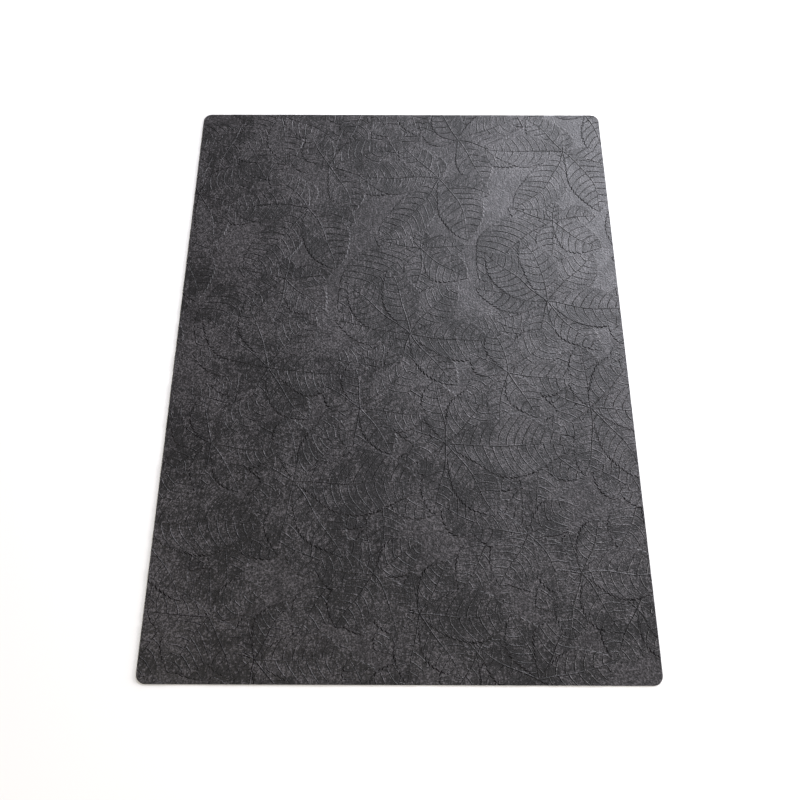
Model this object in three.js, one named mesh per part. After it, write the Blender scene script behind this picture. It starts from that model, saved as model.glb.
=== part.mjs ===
// A chair mat: one flat vinyl sheet with rounded corners, which lies on the floor under an office chair.
// Millimetres, +Z up. The origin is the middle of the underside, and the long side runs along Y.

import * as THREE from 'three';

// The sheet is cut to this outline.
const sheetWidth = 1000;
const sheetLength = 1400;
const cornerRadius = 20;

// Over the highest line of the leaf relief that is pressed into the upper face.
const sheetThickness = 2.5;

// The cutting die leaves both edges of the rim slightly rounded.
const rimRounding = 0.4;

const cornerSegments = 14;
const rimSegments = 3;

const vinylColour = 0x4f4d50;
const vinylRoughness = 0.62;

// The outline of a rectangle with four equal round corners, centred on the origin.
function roundedRectangle(width, length, radius) {
  const right = width / 2;
  const back = length / 2;
  const quarter = Math.PI / 2;
  const outline = new THREE.Shape();
  outline.moveTo(right, radius - back);
  outline.absarc(right - radius, back - radius, radius, 0, quarter);
  outline.absarc(radius - right, back - radius, radius, quarter, 2 * quarter);
  outline.absarc(radius - right, radius - back, radius, 2 * quarter, 3 * quarter);
  outline.absarc(right - radius, radius - back, radius, 3 * quarter, 4 * quarter);
  return outline;
}

// The bevel runs inwards from the outline, so the finished sheet keeps the cut size and the full thickness.
function sheetGeometry() {
  const geometry = new THREE.ExtrudeGeometry(roundedRectangle(sheetWidth, sheetLength, cornerRadius), {
    depth: sheetThickness - 2 * rimRounding,
    curveSegments: cornerSegments,
    bevelThickness: rimRounding,
    bevelSize: rimRounding,
    bevelOffset: -rimRounding,
    bevelSegments: rimSegments,
  });
  geometry.translate(0, 0, rimRounding);
  return geometry;
}

function matSheet() {
  const vinyl = new THREE.MeshStandardMaterial({
    color: vinylColour,
    roughness: vinylRoughness,
    metalness: 0,
  });
  const mesh = new THREE.Mesh(sheetGeometry(), vinyl);
  mesh.name = 'mat_sheet';
  return mesh;
}

const chairMat = new THREE.Group();
chairMat.add(matSheet());

export default chairMat;
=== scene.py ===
"""A chair mat in its photo's view: one vinyl sheet with a leaf relief pressed into its upper face.

The CAD sheet gives the place and the size. The mesh that is made here replaces it and has the relief:
leaves of toothed leaflets, each with a midrib and curved side ribs, that lie over each other and repeat
across the sheet. Slow waves draw them a little out of true. Lengths of the relief are in millimetres,
and everything in Blender is in metres.
"""

import math

import bpy
import numpy as np
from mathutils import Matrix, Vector
from mathutils.geometry import delaunay_2d_cdt


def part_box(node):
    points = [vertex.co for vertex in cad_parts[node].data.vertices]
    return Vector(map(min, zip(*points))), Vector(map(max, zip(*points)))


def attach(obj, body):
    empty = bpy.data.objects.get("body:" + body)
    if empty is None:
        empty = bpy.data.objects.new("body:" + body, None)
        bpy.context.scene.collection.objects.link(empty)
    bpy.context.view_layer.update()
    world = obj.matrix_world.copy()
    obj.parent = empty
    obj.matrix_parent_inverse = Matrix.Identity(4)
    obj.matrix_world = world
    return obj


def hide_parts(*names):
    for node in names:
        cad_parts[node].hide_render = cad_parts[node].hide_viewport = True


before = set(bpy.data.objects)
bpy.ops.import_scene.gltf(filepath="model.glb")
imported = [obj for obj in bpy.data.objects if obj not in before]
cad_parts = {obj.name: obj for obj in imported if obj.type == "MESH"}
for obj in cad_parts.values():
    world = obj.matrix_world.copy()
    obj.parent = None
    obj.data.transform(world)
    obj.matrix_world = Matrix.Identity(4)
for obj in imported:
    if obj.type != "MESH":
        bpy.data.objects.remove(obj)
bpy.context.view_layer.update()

MM = 0.001
PIECE = "embossed_sheet"
NODE = "mat_sheet"

# The sheet. Its width, length and thickness come from the frame.
CORNER_RADIUS = 20.0
RIM_ROUNDING = 0.4
RIM_STEPS = 3
CORNER_STEPS = 14
RIM_SPACING = 7.0

# The heights of the relief above the underside.
GROUND_HEIGHT = 1.70
BLADE_HEIGHT = 1.86
LEVEL_STEP = 0.02
BLADE_DISH = 0.45
DISH_POWER = 3
PILLOW_HEIGHT = 0.06

# The ribs stand on the blades.
MIDRIB_HEIGHT = 0.56
MIDRIB_HALF_WIDTH = 1.9
MIDRIB_TAPER = 0.5
HUB_REACH = 0.24
SIDE_RIB_HEIGHT = 0.46
SIDE_RIB_HALF_WIDTH = 1.5
SIDE_RIB_TAPER = 0.3
SIDE_RIB_SWEEP = 0.6
SIDE_RIB_CURVE = 1.7
SIDE_RIB_PITCH = 19.0
FEWEST_SIDE_RIBS = 3
FIRST_RIB = 0.7
RIB_STAGGER = 0.3
RIB_END_CLEARANCE = 2.0
RIB_END_FADE = 5.0
RIB_TRACE = 0.02

# The toothed margin of a blade falls to what lies below it over a narrow band.
MARGIN_BAND = 2.4
TEETH_PER_RIB = 2
TOOTH_DEPTH = 4.0
TOOTH_DEPTH_SHARE = 0.35
TOOTH_SHARES = np.array([0.02, 0.45, 0.98])
WIDEST_POWER = 1.15
FULLNESS = 0.75

# The pattern repeats by this step across the sheet.
REPEAT_STEP = np.array([317.5, 85.0])
REPEATS = range(-3, 4)

# The leaves of one repeat, from the lowest to the topmost. Each has its hub, measured from the middle of
# the sheet, and its leaflets with heading in degrees (0 to the right, 90 to the far edge), length, width
# and bulge.
LEAVES = [
    ((-10, 575), [(160, 120, 86, 0), (70, 112, 76, 0), (115, 120, 80, 0)]),
    ((-90, 740), [(200, 130, 90, 0), (20, 130, 90, 0), (-60, 130, 84, 0), (-110, 140, 84, 0)]),
    ((292, 60), [(-150, 110, 80, 0), (110, 120, 80, 0), (172, 130, 88, 0)]),
    ((20, -80), [(170, 120, 84, 0), (-80, 130, 90, 0), (-30, 140, 90, 0)]),
    ((-30, -300), [(150, 120, 90, 0), (30, 130, 90, 0), (-90, 130, 90, 0), (-30, 120, 80, 0)]),
    ((190, -400), [(150, 120, 84, 0), (20, 120, 84, 0), (-120, 140, 90, 0), (-60, 140, 90, 0)]),
    ((150, -640), [(130, 130, 90, 0), (60, 130, 90, 0), (-120, 120, 90, 0), (-50, 130, 84, 0)]),
    ((-54, -778), [(150, 120, 76, 4), (108, 130, 80, -4), (62, 140, 90, -4), (14, 150, 86, 0)]),
    ((44, -571), [(160, 100, 70, 0), (-145, 110, 70, 0), (-105, 128, 74, 0), (105, 88, 62, 0),
        (-60, 138, 84, 6), (68, 124, 72, -4), (2, 172, 108, 0)]),
    ((-56, -485), [(95, 96, 64, 0), (30, 112, 76, 0), (138, 100, 70, 0), (178, 118, 84, 0),
        (-66, 130, 80, 10), (-120, 128, 100, 0)]),
    ((96, -209), [(150, 96, 74, 0), (-150, 100, 74, 0), (-30, 180, 90, 0), (-100, 152, 80, 4),
        (98, 152, 86, -8), (-57, 190, 96, 6), (57, 184, 108, -14), (0, 262, 140, 0)]),
    ((60, 985), [(-150, 150, 80, 0), (-95, 150, 84, 0), (-40, 150, 84, 0)]),
    ((10, 790), [(175, 130, 72, 0), (-130, 150, 84, 6), (-80, 160, 88, 0), (-30, 150, 84, 0),
        (30, 140, 76, 0)]),
    ((146, 616), [(80, 124, 84, 0), (155, 114, 74, 0), (120, 122, 80, 0), (28, 154, 100, 0),
        (-22, 170, 108, 6), (-70, 154, 84, 8)]),
    ((48, 293), [(165, 110, 76, 0), (-137, 252, 156, -10), (80, 50, 38, 0), (6, 104, 66, -4),
        (-100, 128, 80, 6), (-40, 134, 88, -8)]),
    ((90, 497), [(92, 78, 52, 0), (132, 136, 84, -6), (-22, 130, 76, 4), (178, 188, 98, 0),
        (-128, 222, 104, 18), (-68, 192, 112, 18)]),
    ((23, 59), [(-160, 130, 84, 0), (-110, 130, 76, 0), (168, 170, 92, -6), (137, 200, 98, 0),
        (50, 167, 104, 8), (108, 180, 84, -10), (-50, 158, 78, -8), (-6, 180, 106, 0)]),
    ((-81, -124), [(-148, 112, 72, 0), (-102, 110, 66, 0), (42, 152, 98, 6), (-5, 144, 90, 0),
        (-60, 122, 70, 4), (147, 102, 76, 0), (105, 116, 74, -4)]),
]

# Painted shade: the colour of the relief's sides is darkened most where they face this way, away from the
# lights, and a little on all the others.
# The sides of the ribs take less of it than the margins.
PAINTED_SHADE_SIDE = np.array([-0.88, -0.47])
PAINTED_SHADE_EVENLY = 0.12
PAINTED_SHADE_STRENGTH = 1.4
RIB_SIDE_SHARE = 0.85

# It keeps a level face, which has no downhill direction, from being divided by nothing.
TINY = 1e-9

# Slow waves that draw the whole pattern a little out of true. Each has its heading, length and phase, how
# far it pushes, and the heading of the push.
WAVES = [
    (20, 170, 0.3, 3.4, 100),
    (95, 230, 1.9, 4.0, 10),
    (-40, 110, 4.1, 1.8, 60),
    (60, 84, 2.2, 1.2, -30),
]
SETTLING_ROUNDS = 10

# How finely the lines of the relief and the plain stretches between them are divided, and how far past the
# outline the lines run before the mesh is trimmed.
LINE_SAMPLE = 1.75
LINE_STRIDE = 4
FIELD_SPACING = 11.0
FIELD_CLEARANCE = 2.6
OVERHANG = 12.0
BACK_SPACING = 70.0
SHARP_ANGLE = 5.0
GRID_BORDER = 4
WELD_DISTANCE = 1e-4
MIDRIB_LINES = 3

# The photo's camera, in metres and degrees, with the lens in millimetres on a 36 mm wide sensor.
CAMERA_PLACE = (0.0021, -0.965, 1.805)
CAMERA_PITCH = 64.46
CAMERA_TURN = 0.18
CAMERA_LENS = 41.49
SENSOR_WIDTH = 36.0

FLOOR_SIZE = 12.0
FLOOR_COLOUR = (0.86, 0.86, 0.86)
SURROUND = (0.18, 0.18, 0.18)

# Each light: azimuth from +X towards +Y and elevation in degrees, distance, width, height, radiance and
# colour.
LIGHTS = {
    "right_key": (0, 11, 7.0, 5.0, 1.9, 31.0, (1.0, 0.985, 1.0)),
    "back_key": (55, 13, 7.0, 3.0, 1.6, 18.0, (1.0, 0.985, 1.0)),
    "low_sheen": (58, 36, 4.0, 1.4, 1.2, 23.5, (0.89, 0.905, 1.0)),
    "high_sheen": (70, 50, 4.0, 1.6, 1.0, 4.4, (0.93, 0.925, 1.0)),
    "front_fill": (-125, 50, 6.0, 4.0, 3.0, 4.0, (1.0, 0.92, 0.79)),
}

# The vinyl's colours: the darkest and the palest blotches of the blades, the darker and the paler ground
# between the leaves, the specks, the dark of the grain's pits and of the painted shade on the relief's
# sides, and the underside.
DARK_VINYL = (0.0085, 0.0078, 0.0085, 1)
PALE_VINYL = (0.031, 0.0284, 0.031, 1)
HOLLOW_VINYL = (0.024, 0.0221, 0.024, 1)
GROUND_VINYL = (0.036, 0.0332, 0.036, 1)
SPECK_VINYL = (0.092, 0.0846, 0.092, 1)
# The dark of the grain's pits and of the painted shade on the relief's sides.
PIT_AND_SHADE_VINYL = (0.005, 0.0047, 0.005, 1)
BACK_VINYL = (0.02, 0.019, 0.02, 1)

# The noises of the finish, each with scale on a metre, detail and roughness. The streaks are stretched too.
BLOTCH_NOISE = (5.5, 4.0, 0.6)
PATCH_NOISE = (24.0, 3.0, 0.6)
SPECKLE_NOISE = (190.0, 3.0, 0.7)
GRAIN_NOISE = (330.0, 1.5, 0.6)
STREAK_NOISE = (1.0, 2.0, 0.6, (230, 26, 1))

# How the noises weigh: blotch, patch, speckle and streak in the mottle, speckle, grain and wear in the
# specks, and grain, speckle and streak in the bump.
MOTTLE_WEIGHTS = (1.3, 1.0, 0.8, 0.7)
SPECK_WEIGHTS = (0.6, 0.6, 0.08)
BUMP_WEIGHTS = (0.7, 0.7, 0.3)
GROUND_GRAIN_WEIGHT = 0.6

# The stretches of a noise over which each part of the finish comes in, and how strong it gets.
WORN_RANGE = (1.75, 2.05)
GROUND_RANGE = (1.90, 2.30)
SPECK_RANGE = (0.68, 0.78)
SPECK_STRENGTH = 0.7
PIT_RANGE = (0.40, 0.54)
PIT_STRENGTH = 0.9
# Patches that break up the painted shade, and the least of it that they leave.
SHADE_PATCH_RANGE = (0.38, 0.56)
LEAST_PAINTED_SHADE = 0.35

# The gloss. Worn vinyl shines more, and the places with painted shade and the steep places shine less.
GROUND_ROUGHNESS = 0.42
BLADE_ROUGHNESS = 0.45
ROUGHNESS_SWING = 0.06
SWING_RANGE = (0.3, 0.7)
SHINE_RANGE = (1.68, 2.22)
LEAST_SHINE = 0.43
MOST_SHINE = 0.60
FULL_PAINTED_SHADE = 0.8
PAINTED_SHADE_SHINE = 0.08
SIDE_SHINE = 0.85
BUMP_DISTANCE = 0.0009
UNDERSIDE_TOP = 0.0005


def heading_vector(degrees):
    return np.array([math.cos(math.radians(degrees)), math.sin(math.radians(degrees))])


def push_at(points):
    """How far the waves push each point of the drawn pattern."""
    push = np.zeros_like(points)
    for heading, wave_length, phase, reach, push_heading in WAVES:
        travel = 2 * np.pi * (points @ heading_vector(heading)) / wave_length
        push += np.outer(reach * np.sin(travel + phase), heading_vector(push_heading))
    return push


def drawn_points(points):
    """The points of the drawn pattern that the waves carry to the given points of the sheet."""
    drawn = points
    for _ in range(SETTLING_ROUNDS):
        drawn = points - push_at(drawn)
    return drawn


class Leaflet:
    """One blade of a leaf. In its own frame s runs along the midrib and t to the left of it."""

    def __init__(self, hub, heading, length, width, bulge, level):
        self.hub = np.array(hub, float)
        self.along = heading_vector(heading)
        self.across = heading_vector(heading + 90)
        self.length = length
        self.half_width = width / 2
        self.bulge = bulge
        self.level = level
        self.rib_count = max(FEWEST_SIDE_RIBS, round(length / SIDE_RIB_PITCH) - 1)
        self.rib_pitch = length / (self.rib_count + 1)
        self.stations, self.margin = self.toothed_margin()

    def bend(self, s):
        share = s / self.length
        return 4 * self.bulge * share * (1 - share)

    def in_pattern(self, s, t):
        s, t = np.broadcast_arrays(s, t)
        return self.hub + np.outer(s, self.along) + np.outer(t + self.bend(s), self.across)

    def own_frame(self, points):
        offset = points - self.hub
        s = offset @ self.along
        return s, offset @ self.across - self.bend(s)

    def smooth_margin(self, s):
        share = np.clip(s / self.length, 0, 1)
        return self.half_width * np.clip(np.sin(np.pi * share**WIDEST_POWER), 0, 1) ** FULLNESS

    def toothed_margin(self):
        """Stations along the midrib and the half width at each, with the teeth pointing at the tip."""
        pitch = self.rib_pitch / TEETH_PER_RIB
        starts = np.arange(0, self.length, pitch)
        stations = (starts[:, None] + TOOTH_SHARES * pitch).ravel()
        notches = np.tile(1 - np.sin(np.pi / 2 * TOOTH_SHARES), len(starts))
        inside = stations < self.length
        stations, notches = stations[inside], notches[inside]
        smooth = self.smooth_margin(stations)
        margin = smooth - notches * np.minimum(TOOTH_DEPTH, TOOTH_DEPTH_SHARE * smooth)
        return np.concatenate([[0], stations, [self.length]]), np.concatenate([[0], margin, [0]])

    def depth(self, s, t):
        """How far inside the margin a point lies, measured across the blade."""
        overrun = np.maximum(0, np.maximum(-s, s - self.length))
        return np.interp(s, self.stations, self.margin) - np.abs(t) - overrun

    def midrib_half_width(self, s):
        return MIDRIB_HALF_WIDTH * (1 - MIDRIB_TAPER * np.clip(s / self.length, 0, 1))

    def midrib(self, s, t):
        """The height of the midrib, from 0 at its feet."""
        share = 1 - np.abs(t) / self.midrib_half_width(s)
        return MIDRIB_HEIGHT * (1 - MIDRIB_TAPER * np.clip(s / self.length, 0, 1)) * np.clip(share, 0, 1)

    def sweep(self, t):
        """How far a side rib has run towards the tip where it is t from the midrib, and its slope there."""
        reach = np.abs(t) / self.half_width
        run = SIDE_RIB_SWEEP * self.half_width * reach**SIDE_RIB_CURVE
        slope = SIDE_RIB_SWEEP * SIDE_RIB_CURVE * reach ** (SIDE_RIB_CURVE - 1)
        return run, slope

    def rib_start(self, t):
        """Where the first side rib of a point's own side leaves the midrib."""
        return self.rib_pitch * (FIRST_RIB + RIB_STAGGER * (t < 0))

    def side_rib_half_width(self, t):
        return SIDE_RIB_HALF_WIDTH * (1 - SIDE_RIB_TAPER * np.clip(np.abs(t) / self.half_width, 0, 1))

    def side_ribs(self, s, t):
        """The height of the side ribs and the swell of the blade between them."""
        run, slope = self.sweep(t)
        from_first = s - run - self.rib_start(t)
        nearest = np.clip(np.round(from_first / self.rib_pitch), 0, self.rib_count - 1)
        offset = from_first - nearest * self.rib_pitch
        share = 1 - np.abs(offset) / np.sqrt(1 + slope**2) / self.side_rib_half_width(t)
        clear = self.smooth_margin(s) - np.abs(t) - RIB_END_CLEARANCE
        fade = np.clip(clear / RIB_END_FADE, 0, 1)
        swell = PILLOW_HEIGHT * fade * np.sin(np.pi * offset / self.rib_pitch) ** 2
        return SIDE_RIB_HEIGHT * fade * np.clip(share, 0, 1), swell

    def blade(self, s, t):
        """The height of the blade's surface, and how much of it is the side of a rib."""
        ribs, swell = self.side_ribs(s, t)
        midrib = self.midrib(s, t)
        across = np.abs(t) / np.maximum(self.smooth_margin(s), 1)
        dish = BLADE_DISH * np.clip(across, 0, 1) ** DISH_POWER
        surface = BLADE_HEIGHT + self.level * LEVEL_STEP + dish + swell
        on_rib = (ribs > RIB_TRACE) | (midrib > RIB_TRACE)
        return surface + np.maximum(ribs, midrib), RIB_SIDE_SHARE * on_rib

    def hub_rib(self, s, t):
        """The height of the midrib near the hub, where it runs over the other leaflets' blades."""
        fade = np.clip(1 - s / (HUB_REACH * self.length), 0, 1) * (s >= 0)
        top = BLADE_HEIGHT + self.level * LEVEL_STEP
        return np.where(fade > 0, top + fade * self.midrib(s, t), 0)

    def margin_lines(self):
        """The upper and the lower edge of the margin's band, as closed rings."""
        rings = []
        for out in (0, MARGIN_BAND):
            ends = np.array([-out, self.length + out])
            s = np.concatenate([ends[:1], self.stations[1:-1], ends[1:], self.stations[-2:0:-1]])
            width = self.margin[1:-1] + out
            t = np.concatenate([[0], width, [0], -width[::-1]])
            rings.append(self.in_pattern(s, t))
        return rings

    def rib_lines(self):
        """Crest and feet of the midrib and of each side rib, densely sampled."""
        lines = []
        s = np.arange(LINE_SAMPLE, self.length - LINE_SAMPLE, LINE_SAMPLE)
        for foot in (-1, 0, 1):
            lines.append(self.in_pattern(s, foot * self.midrib_half_width(s)))
        for side in (-1, 1):
            for number in range(self.rib_count):
                lines += self.side_rib_lines(side, number)
        return lines

    def side_rib_lines(self, side, number):
        start = self.rib_start(side) + number * self.rib_pitch
        inner = self.midrib_half_width(start)
        t = side * np.arange(inner, self.half_width, LINE_SAMPLE)
        run, slope = self.sweep(t)
        s = start + run
        keep = self.smooth_margin(s) - np.abs(t) > RIB_END_CLEARANCE
        s, t, slope = s[keep], t[keep], slope[keep]
        if len(s) < 2:
            return []
        foot = self.side_rib_half_width(t) * np.sqrt(1 + slope**2)
        return [self.in_pattern(s + k * foot, t) for k in (-1, 0, 1)]

    def reach(self):
        """The middle and the radius of a circle round the leaflet."""
        middle = self.in_pattern(self.length / 2, 0)[0]
        return middle, math.hypot(self.length / 2, self.half_width) + abs(self.bulge) + MARGIN_BAND


class Leaf:
    """The leaflets of one hub. They are pressed one after the other, so later ones lie on top."""

    def __init__(self, hub, leaflets):
        self.leaflets = [Leaflet(hub, *leaflet, level) for level, leaflet in enumerate(leaflets)]


def sheet_edge_distance(points, width, length, radius):
    """How far a point lies outside the sheet's outline, negative inside."""
    over = np.abs(points) - np.array([width / 2 - radius, length / 2 - radius])
    outside = np.hypot(*np.maximum(over, 0).T)
    return outside + np.minimum(over.max(axis=1), 0) - radius


def sheet_outline(width, length, radius):
    """Points round the sheet, counter-clockwise from the right end of the near edge."""
    corners = []
    for quarter, (x, y) in enumerate([(1, -1), (1, 1), (-1, 1), (-1, -1)]):
        angles = np.radians(90 * (quarter - 1)) + np.linspace(0, np.pi / 2, CORNER_STEPS + 1)
        centre = np.array([x * (width / 2 - radius), y * (length / 2 - radius)])
        corners.append(centre + radius * np.stack([np.cos(angles), np.sin(angles)], axis=1))
    points = []
    for corner, following in zip(corners, corners[1:] + corners[:1]):
        points += list(corner)
        side = following[0] - corner[-1]
        count = max(1, round(math.hypot(*side) / RIM_SPACING))
        points += [corner[-1] + side * k / count for k in range(1, count)]
    return np.array(points)


class Relief:
    """The whole pattern, with the height of the upper face at any point."""

    def __init__(self, width, length, thickness):
        self.width, self.length, self.thickness = width, length, thickness
        self.leaves = []
        for hub, leaflets in LEAVES:
            for number in REPEATS:
                leaf = Leaf(np.array(hub) + number * REPEAT_STEP, leaflets)
                if any(self.touches_sheet(leaflet) for leaflet in leaf.leaflets):
                    self.leaves.append(leaf)
        self.order = [(leaf, leaflet) for leaf in self.leaves for leaflet in leaf.leaflets]

    def touches_sheet(self, leaflet):
        middle, radius = leaflet.reach()
        return sheet_edge_distance(middle[None], self.width, self.length, 0)[0] < radius + OVERHANG

    def heights(self, points):
        """Height, place on a blade (1) or on the ground (0), and share of a rib's or margin's side."""
        points = drawn_points(points)
        height = np.full(len(points), GROUND_HEIGHT)
        on_blade = np.zeros(len(points))
        side = np.zeros(len(points))
        for leaf in self.leaves:
            for leaflet in leaf.leaflets:
                self.press(leaflet, points, height, on_blade, side)
            for leaflet in leaf.leaflets:
                near = self.near(leaflet, points)
                s, t = leaflet.own_frame(points[near])
                rib = leaflet.hub_rib(s, t) * (np.abs(t) < leaflet.midrib_half_width(s))
                side[near] = np.where(rib > height[near], 1, side[near])
                height[near] = np.maximum(height[near], rib)
        return height, on_blade, side

    def near(self, leaflet, points):
        middle, radius = leaflet.reach()
        return np.flatnonzero(((points - middle) ** 2).sum(axis=1) < radius**2)

    def press(self, leaflet, points, height, on_blade, side):
        near = self.near(leaflet, points)
        s, t = leaflet.own_frame(points[near])
        depth = leaflet.depth(s, t)
        share = np.clip(1 + depth / MARGIN_BAND, 0, 1)
        blade, ribs = leaflet.blade(s, t)
        height[near] += share * (blade - height[near])
        on_blade[near] += share * (1 - on_blade[near])
        band = np.where((share > 0) & (share < 1), 1, 0)
        side[near] = np.where(share == 1, ribs, np.maximum(side[near] * (1 - share), band))

    def lines(self):
        """Every visible line of the relief as a list of point runs."""
        runs = []
        for index, (leaf, leaflet) in enumerate(self.order):
            later = [pair for pair in self.order[index + 1 :] if self.meets(leaflet, pair[1])]
            own = [other for other_leaf, other in later if other_leaf is leaf]
            above = [other for other_leaf, other in later if other_leaf is not leaf]
            for ring in leaflet.margin_lines():
                closed = np.concatenate([ring, ring[:1]])
                runs += self.visible_runs(closed, 1, above + own)
            for number, line in enumerate(leaflet.rib_lines()):
                if number < MIDRIB_LINES:
                    hub_end = int(HUB_REACH * leaflet.length / LINE_SAMPLE)
                    runs += self.visible_runs(line[: hub_end + 1], LINE_STRIDE, above)
                    line = line[hub_end:]
                runs += self.visible_runs(line, LINE_STRIDE, above + own)
        return runs

    def meets(self, leaflet, other):
        middle, radius = leaflet.reach()
        other_middle, other_radius = other.reach()
        return math.hypot(*(middle - other_middle)) < radius + other_radius

    def visible_runs(self, line, stride, covers):
        """The stretches of a line that no given leaflet covers, pushed to their places on the sheet."""
        visible = np.ones(len(line), bool)
        for other in covers:
            near = self.near(other, line)
            visible[near] &= other.depth(*other.own_frame(line[near])) <= -MARGIN_BAND
        visible &= sheet_edge_distance(line, self.width, self.length, CORNER_RADIUS) < OVERHANG
        runs = []
        edges = np.flatnonzero(np.diff(np.concatenate([[0], visible.astype(int), [0]])))
        for start, stop in zip(edges[::2], edges[1::2]):
            if stop - start < 2:
                continue
            picked = [k for k in range(start, stop) if k in (start, stop - 1) or k % stride == 0]
            runs.append(line[picked] + push_at(line[picked]))
        return runs


def field_points(runs, width, length):
    """A triangular lattice for the plain stretches, clear of the lines."""
    cells = int(math.ceil(max(width, length) / FIELD_CLEARANCE)) + 2 * GRID_BORDER
    taken = np.zeros((cells, cells), bool)
    every = np.concatenate(runs)
    index = ((every + max(width, length) / 2) / FIELD_CLEARANCE).astype(int) + GRID_BORDER
    for dx in (-1, 0, 1):
        for dy in (-1, 0, 1):
            taken[np.clip(index[:, 0] + dx, 0, cells - 1), np.clip(index[:, 1] + dy, 0, cells - 1)] = True
    row_step = FIELD_SPACING * math.sqrt(3) / 2
    rows = int(length / row_step) + 2
    columns = int(width / FIELD_SPACING) + 2
    i, j = np.meshgrid(np.arange(columns), np.arange(rows))
    points = np.stack(
        [(i + (j % 2) / 2) * FIELD_SPACING - width / 2, j * row_step - length / 2], axis=-1
    ).reshape(-1, 2)
    points = points[sheet_edge_distance(points, width, length, CORNER_RADIUS) < -FIELD_CLEARANCE]
    index = ((points + max(width, length) / 2) / FIELD_CLEARANCE).astype(int) + GRID_BORDER
    return points[~taken[index[:, 0], index[:, 1]]]


def triangulate(rings, runs, loose):
    """The triangles of a plane figure whose edges follow the rings and the runs."""
    points, edges = [], []
    for ring in rings:
        first = len(points)
        points += list(ring)
        edges += [(first + k, first + (k + 1) % len(ring)) for k in range(len(ring))]
    for run in runs:
        first = len(points)
        points += list(run)
        edges += [(first + k, first + k + 1) for k in range(len(run) - 1)]
    points += list(loose)
    vectors = [Vector((float(x), float(y))) for x, y in points]
    corners, _, faces, *_ = delaunay_2d_cdt(vectors, edges, [], 0, WELD_DISTANCE, False)
    corners = np.array([tuple(corner) for corner in corners])
    faces = np.array(faces)
    a, b, c = (corners[faces[:, k]] for k in range(3))
    area = (b[:, 0] - a[:, 0]) * (c[:, 1] - a[:, 1]) - (b[:, 1] - a[:, 1]) * (c[:, 0] - a[:, 0])
    faces[area < 0] = faces[area < 0][:, ::-1]
    return corners, faces


def trimmed(corners, faces, width, length, radius):
    """The figure without the faces and corners that lie outside the outline."""
    middles = corners[faces].mean(axis=1)
    faces = faces[sheet_edge_distance(middles, width, length, radius) < 0]
    used = np.unique(faces)
    renumber = np.full(len(corners), -1)
    renumber[used] = np.arange(len(used))
    return corners[used], renumber[faces]


def boundary_ring(faces):
    """The corners along the free edge of a figure, counter-clockwise."""
    sides = np.concatenate([faces[:, [0, 1]], faces[:, [1, 2]], faces[:, [2, 0]]])
    keys = {(int(a), int(b)) for a, b in sides}
    following = {a: b for a, b in keys if (b, a) not in keys}
    ring = [next(iter(sorted(following)))]
    while following[ring[-1]] != ring[0]:
        ring.append(following[ring[-1]])
    return np.array(ring)


def embossed_sheet(relief):
    """The closed mesh of the sheet: its upper face with the relief, the rounded rim and the flat back."""
    width, length = relief.width, relief.length
    inner_width, inner_length = width - 2 * RIM_ROUNDING, length - 2 * RIM_ROUNDING
    inner_radius = CORNER_RADIUS - RIM_ROUNDING
    runs = relief.lines()
    loose = field_points(runs, width, length)
    inner = sheet_outline(inner_width, inner_length, inner_radius)
    plane, faces = triangulate([inner], runs, loose)
    plane, faces = trimmed(plane, faces, inner_width, inner_length, inner_radius)
    height = np.minimum(relief.heights(plane)[0], relief.thickness)
    ring = boundary_ring(faces)

    points = [np.column_stack([plane, height])]
    all_faces = [faces]
    count = len(plane)
    rim_top = height[ring]
    outward = rim_normals(plane[ring], inner_width, inner_length, inner_radius)
    previous = ring
    for out, from_top, from_bottom in rim_levels():
        z = from_bottom if from_top is None else rim_top - from_top
        points.append(np.column_stack([plane[ring] + outward * out, np.broadcast_to(z, len(ring))]))
        current = count + np.arange(len(ring))
        count += len(ring)
        all_faces += strip(previous, current)
        previous = current
    back_points, back_faces = back_face(plane[ring], inner_width, inner_length, inner_radius)
    back_index = np.concatenate([previous, count + np.arange(len(back_points) - len(ring))])
    points.append(np.column_stack([back_points[len(ring) :], np.zeros(len(back_points) - len(ring))]))
    all_faces.append(back_index[back_faces][:, ::-1])
    return np.concatenate(points), np.concatenate(all_faces), len(faces)


def rim_levels():
    """How far out each ring of the rim lies, and its drop from the upper face or its height."""
    levels = []
    for k in range(1, RIM_STEPS + 1):
        angle = math.pi / 2 * k / RIM_STEPS
        levels.append((RIM_ROUNDING * math.sin(angle), RIM_ROUNDING * (1 - math.cos(angle)), None))
    for k in range(RIM_STEPS, -1, -1):
        angle = math.pi / 2 * k / RIM_STEPS
        levels.append((RIM_ROUNDING * math.sin(angle), None, RIM_ROUNDING * (1 - math.cos(angle))))
    return levels


def rim_normals(points, width, length, radius):
    """The direction straight out of the outline at each of its points."""
    core = np.array([width / 2 - radius, length / 2 - radius])
    offset = points - np.clip(points, -core, core)
    return offset / np.hypot(*offset.T)[:, None]


def strip(upper, lower):
    following_upper, following_lower = np.roll(upper, -1), np.roll(lower, -1)
    return [
        np.column_stack([upper, lower, following_lower]),
        np.column_stack([upper, following_lower, following_upper]),
    ]


def back_face(ring, width, length, radius):
    """The plain back: the ring's points first, then a coarse lattice."""
    columns = np.arange(-width / 2 + BACK_SPACING / 2, width / 2, BACK_SPACING)
    rows = np.arange(-length / 2 + BACK_SPACING / 2, length / 2, BACK_SPACING)
    lattice = np.stack(np.meshgrid(columns, rows), axis=-1).reshape(-1, 2)
    lattice = lattice[sheet_edge_distance(lattice, width, length, radius) < -BACK_SPACING / 4]
    corners, faces = triangulate([ring], [], lattice)
    return corners, faces


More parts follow.
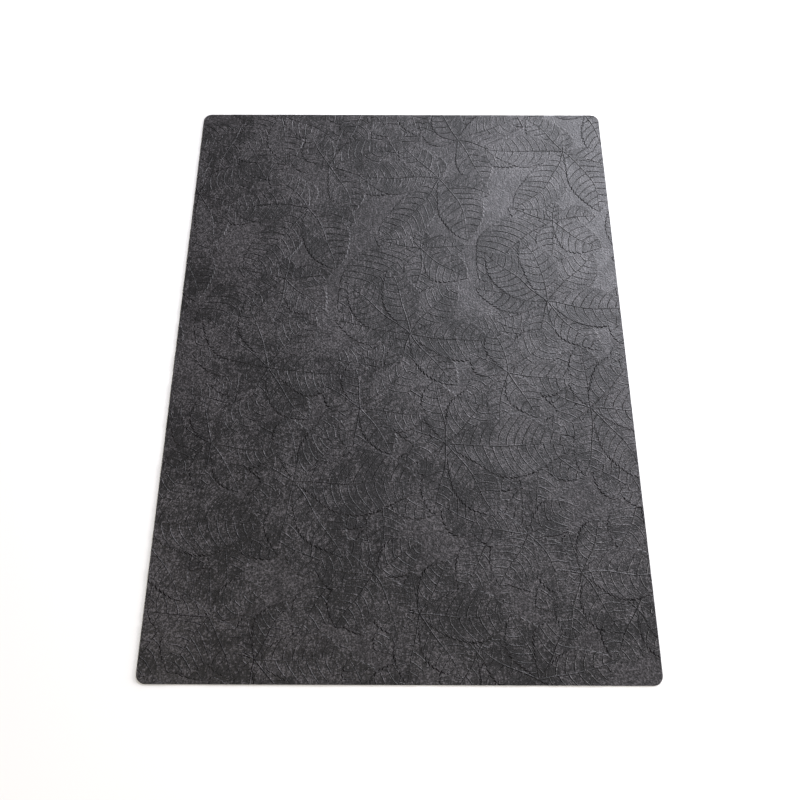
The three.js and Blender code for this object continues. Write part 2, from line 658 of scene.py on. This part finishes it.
def build_piece():
    low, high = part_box(NODE)
    size = (high - low) / MM
    relief = Relief(*size)
    points, faces, upper_count = embossed_sheet(relief)
    mesh = bpy.data.meshes.new(PIECE)
    mesh.from_pydata(points * MM, [], faces.tolist())
    mesh.update()
    corners = points[faces[:upper_count]]
    _, on_blade, side = relief.heights(corners.mean(axis=1)[:, :2])
    normals = np.cross(corners[:, 1] - corners[:, 0], corners[:, 2] - corners[:, 0])
    downhill = normals[:, :2] / np.maximum(np.hypot(*normals[:, :2].T), TINY)[:, None]
    # Painted shade: faces on the sides of the relief get a darker colour, most where they slope down
    # towards the near left, away from the lights.
    painted_shade = np.clip(side * (PAINTED_SHADE_EVENLY + PAINTED_SHADE_STRENGTH * (downhill @ PAINTED_SHADE_SIDE)), 0, 1)
    for name, values in (("blade", on_blade), ("side", side), ("painted_shade", painted_shade)):
        whole = np.zeros(len(faces), np.float32)
        whole[:upper_count] = values
        mesh.attributes.new(name, "FLOAT", "FACE").data.foreach_set("value", whole)
    mesh.shade_smooth()
    mesh.set_sharp_from_angle(angle=math.radians(SHARP_ANGLE))
    piece = bpy.data.objects.new(PIECE, mesh)
    bpy.context.scene.collection.objects.link(piece)
    print("sheet mesh:", len(points), "corners", len(faces), "faces")
    return piece


class NodeTree:
    """A material's nodes, made and linked in one call each."""

    def __init__(self, name):
        self.material = bpy.data.materials.new(name)
        self.material.use_nodes = True
        self.tree = self.material.node_tree
        self.tree.nodes.clear()

    def node(self, kind, inputs=(), **settings):
        node = self.tree.nodes.new("ShaderNode" + kind)
        for key, value in settings.items():
            setattr(node, key, value)
        for key, value in dict(inputs).items():
            if isinstance(value, bpy.types.NodeSocket):
                self.tree.links.new(value, node.inputs[key])
            else:
                node.inputs[key].default_value = value
        return node

    def math(self, operation, *values):
        return self.node("Math", dict(enumerate(values)), operation=operation).outputs[0]

    def weighted(self, *parts):
        """The sum of values times their weights."""
        total = 0.0
        for value, weight in parts:
            total = self.node("Math", {0: value, 1: weight, 2: total}, operation="MULTIPLY_ADD").outputs[0]
        return total

    def noise(self, vector, scale, detail, roughness, stretch=(1, 1, 1)):
        place = self.node("Mapping", {"Vector": vector, "Scale": stretch}).outputs[0]
        inputs = {"Vector": place, "Scale": scale, "Detail": detail, "Roughness": roughness}
        return self.node("TexNoise", inputs).outputs["Fac"]

    def ramp(self, value, low, high, low_out=0.0, high_out=1.0):
        """A value carried from the range low..high to another, and held at its ends."""
        inputs = {"Value": value, "From Min": low, "From Max": high, "To Min": low_out, "To Max": high_out}
        return self.node("MapRange", inputs).outputs[0]

    def mix(self, share, first, second):
        """Keys 6 and 7 are the node's two colours."""
        node = self.node("Mix", {0: share, 6: first, 7: second}, data_type="RGBA")
        return node.outputs[2]


def vinyl_material():
    """Mottled anthracite vinyl: blotched blades, a paler grained ground, painted shade on the sides and a
    plain back.
    """
    tree = NodeTree("mottled_vinyl")
    place = tree.node("TexCoord").outputs["Object"]
    split = tree.node("SeparateXYZ", {0: place})
    blade = tree.node("Attribute", attribute_name="blade").outputs["Fac"]
    side = tree.node("Attribute", attribute_name="side").outputs["Fac"]
    painted_shade = tree.node("Attribute", attribute_name="painted_shade").outputs["Fac"]

    blotch = tree.noise(place, *BLOTCH_NOISE)
    patch = tree.noise(place, *PATCH_NOISE)
    speckle = tree.noise(place, *SPECKLE_NOISE)
    grain = tree.noise(place, *GRAIN_NOISE)
    streak = tree.noise(place, *STREAK_NOISE)
    mottle = tree.weighted(*zip((blotch, patch, speckle, streak), MOTTLE_WEIGHTS))
    worn = tree.ramp(mottle, *WORN_RANGE)
    specks = tree.ramp(tree.weighted(*zip((speckle, grain, worn), SPECK_WEIGHTS)), *SPECK_RANGE)
    ground_share = tree.ramp(tree.weighted((mottle, 1.0), (grain, GROUND_GRAIN_WEIGHT)), *GROUND_RANGE)
    pits = tree.ramp(grain, *PIT_RANGE, PIT_STRENGTH, 0.0)
    # The painted shade, broken up in patches.
    patchy_painted_shade = tree.math("MULTIPLY", painted_shade, tree.ramp(patch, *SHADE_PATCH_RANGE, LEAST_PAINTED_SHADE, 1.0))
    underside = tree.math("LESS_THAN", split.outputs["Z"], UNDERSIDE_TOP)

    blade_colour = tree.mix(worn, DARK_VINYL, PALE_VINYL)
    ground_colour = tree.mix(ground_share, HOLLOW_VINYL, GROUND_VINYL)
    colour = tree.mix(blade, ground_colour, blade_colour)
    colour = tree.mix(tree.math("MULTIPLY", specks, SPECK_STRENGTH), colour, SPECK_VINYL)
    colour = tree.mix(pits, colour, PIT_AND_SHADE_VINYL)
    # Painted shade on the sides of the relief.
    colour = tree.mix(patchy_painted_shade, colour, PIT_AND_SHADE_VINYL)
    colour = tree.mix(underside, colour, BACK_VINYL)

    roughness = tree.ramp(blade, 0, 1, GROUND_ROUGHNESS, BLADE_ROUGHNESS)
    swing = tree.ramp(speckle, *SWING_RANGE, -ROUGHNESS_SWING, ROUGHNESS_SWING)
    roughness = tree.math("ADD", roughness, swing)
    shine = tree.ramp(mottle, *SHINE_RANGE, LEAST_SHINE, MOST_SHINE)
    shine = tree.math("MULTIPLY", shine, tree.ramp(patchy_painted_shade, 0, FULL_PAINTED_SHADE, 1.0, PAINTED_SHADE_SHINE))
    shine = tree.math("MULTIPLY", shine, tree.ramp(side, 0, 1, 1.0, SIDE_SHINE))
    relief = tree.weighted(*zip((grain, speckle, streak), BUMP_WEIGHTS))
    bump = tree.node("Bump", {"Height": relief, "Strength": 1.0, "Distance": BUMP_DISTANCE}).outputs[0]
    inputs = {"Base Color": colour, "Roughness": roughness, "Normal": bump, "Specular IOR Level": shine}
    shader = tree.node("BsdfPrincipled", inputs)
    tree.node("OutputMaterial", {"Surface": shader.outputs[0]})
    return tree.material


def floor_material():
    tree = NodeTree("pale_floor")
    shader = tree.node("BsdfDiffuse", {"Color": (*FLOOR_COLOUR, 1)})
    tree.node("OutputMaterial", {"Surface": shader.outputs[0]})
    return tree.material


def add_floor():
    bpy.ops.mesh.primitive_plane_add(size=FLOOR_SIZE)
    floor = bpy.context.object
    floor.name = "floor"
    floor.data.materials.append(floor_material())


def add_lights():
    for name, (azimuth, elevation, distance, width, height, radiance, colour) in LIGHTS.items():
        light = bpy.data.lights.new(name, "AREA")
        light.shape = "RECTANGLE"
        light.size, light.size_y = width, height
        light.energy = radiance * math.pi * width * height
        light.color = colour
        lamp = bpy.data.objects.new(name, light)
        turn, tilt = math.radians(azimuth), math.radians(elevation)
        towards = Vector((math.cos(tilt) * math.cos(turn), math.cos(tilt) * math.sin(turn), math.sin(tilt)))
        lamp.location = towards * distance
        lamp.rotation_euler = towards.to_track_quat("Z", "Y").to_euler()
        bpy.context.scene.collection.objects.link(lamp)
    world = bpy.data.worlds.new("surround")
    world.use_nodes = True
    background = world.node_tree.nodes["Background"]
    background.inputs["Color"].default_value = (*SURROUND, 1)
    background.inputs["Strength"].default_value = 1.0
    bpy.context.scene.world = world


def add_camera():
    data = bpy.data.cameras.new("camera")
    data.sensor_width = SENSOR_WIDTH
    data.lens = CAMERA_LENS
    camera = bpy.data.objects.new("camera", data)
    camera.location = CAMERA_PLACE
    camera.rotation_euler = (math.radians(90 - CAMERA_PITCH), 0, math.radians(CAMERA_TURN))
    bpy.context.scene.collection.objects.link(camera)
    bpy.context.scene.camera = camera


piece = build_piece()
piece.data.materials.append(vinyl_material())
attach(piece, "root")
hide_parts(NODE)

add_floor()
add_lights()
add_camera()
bpy.context.scene.view_settings.view_transform = "Standard"
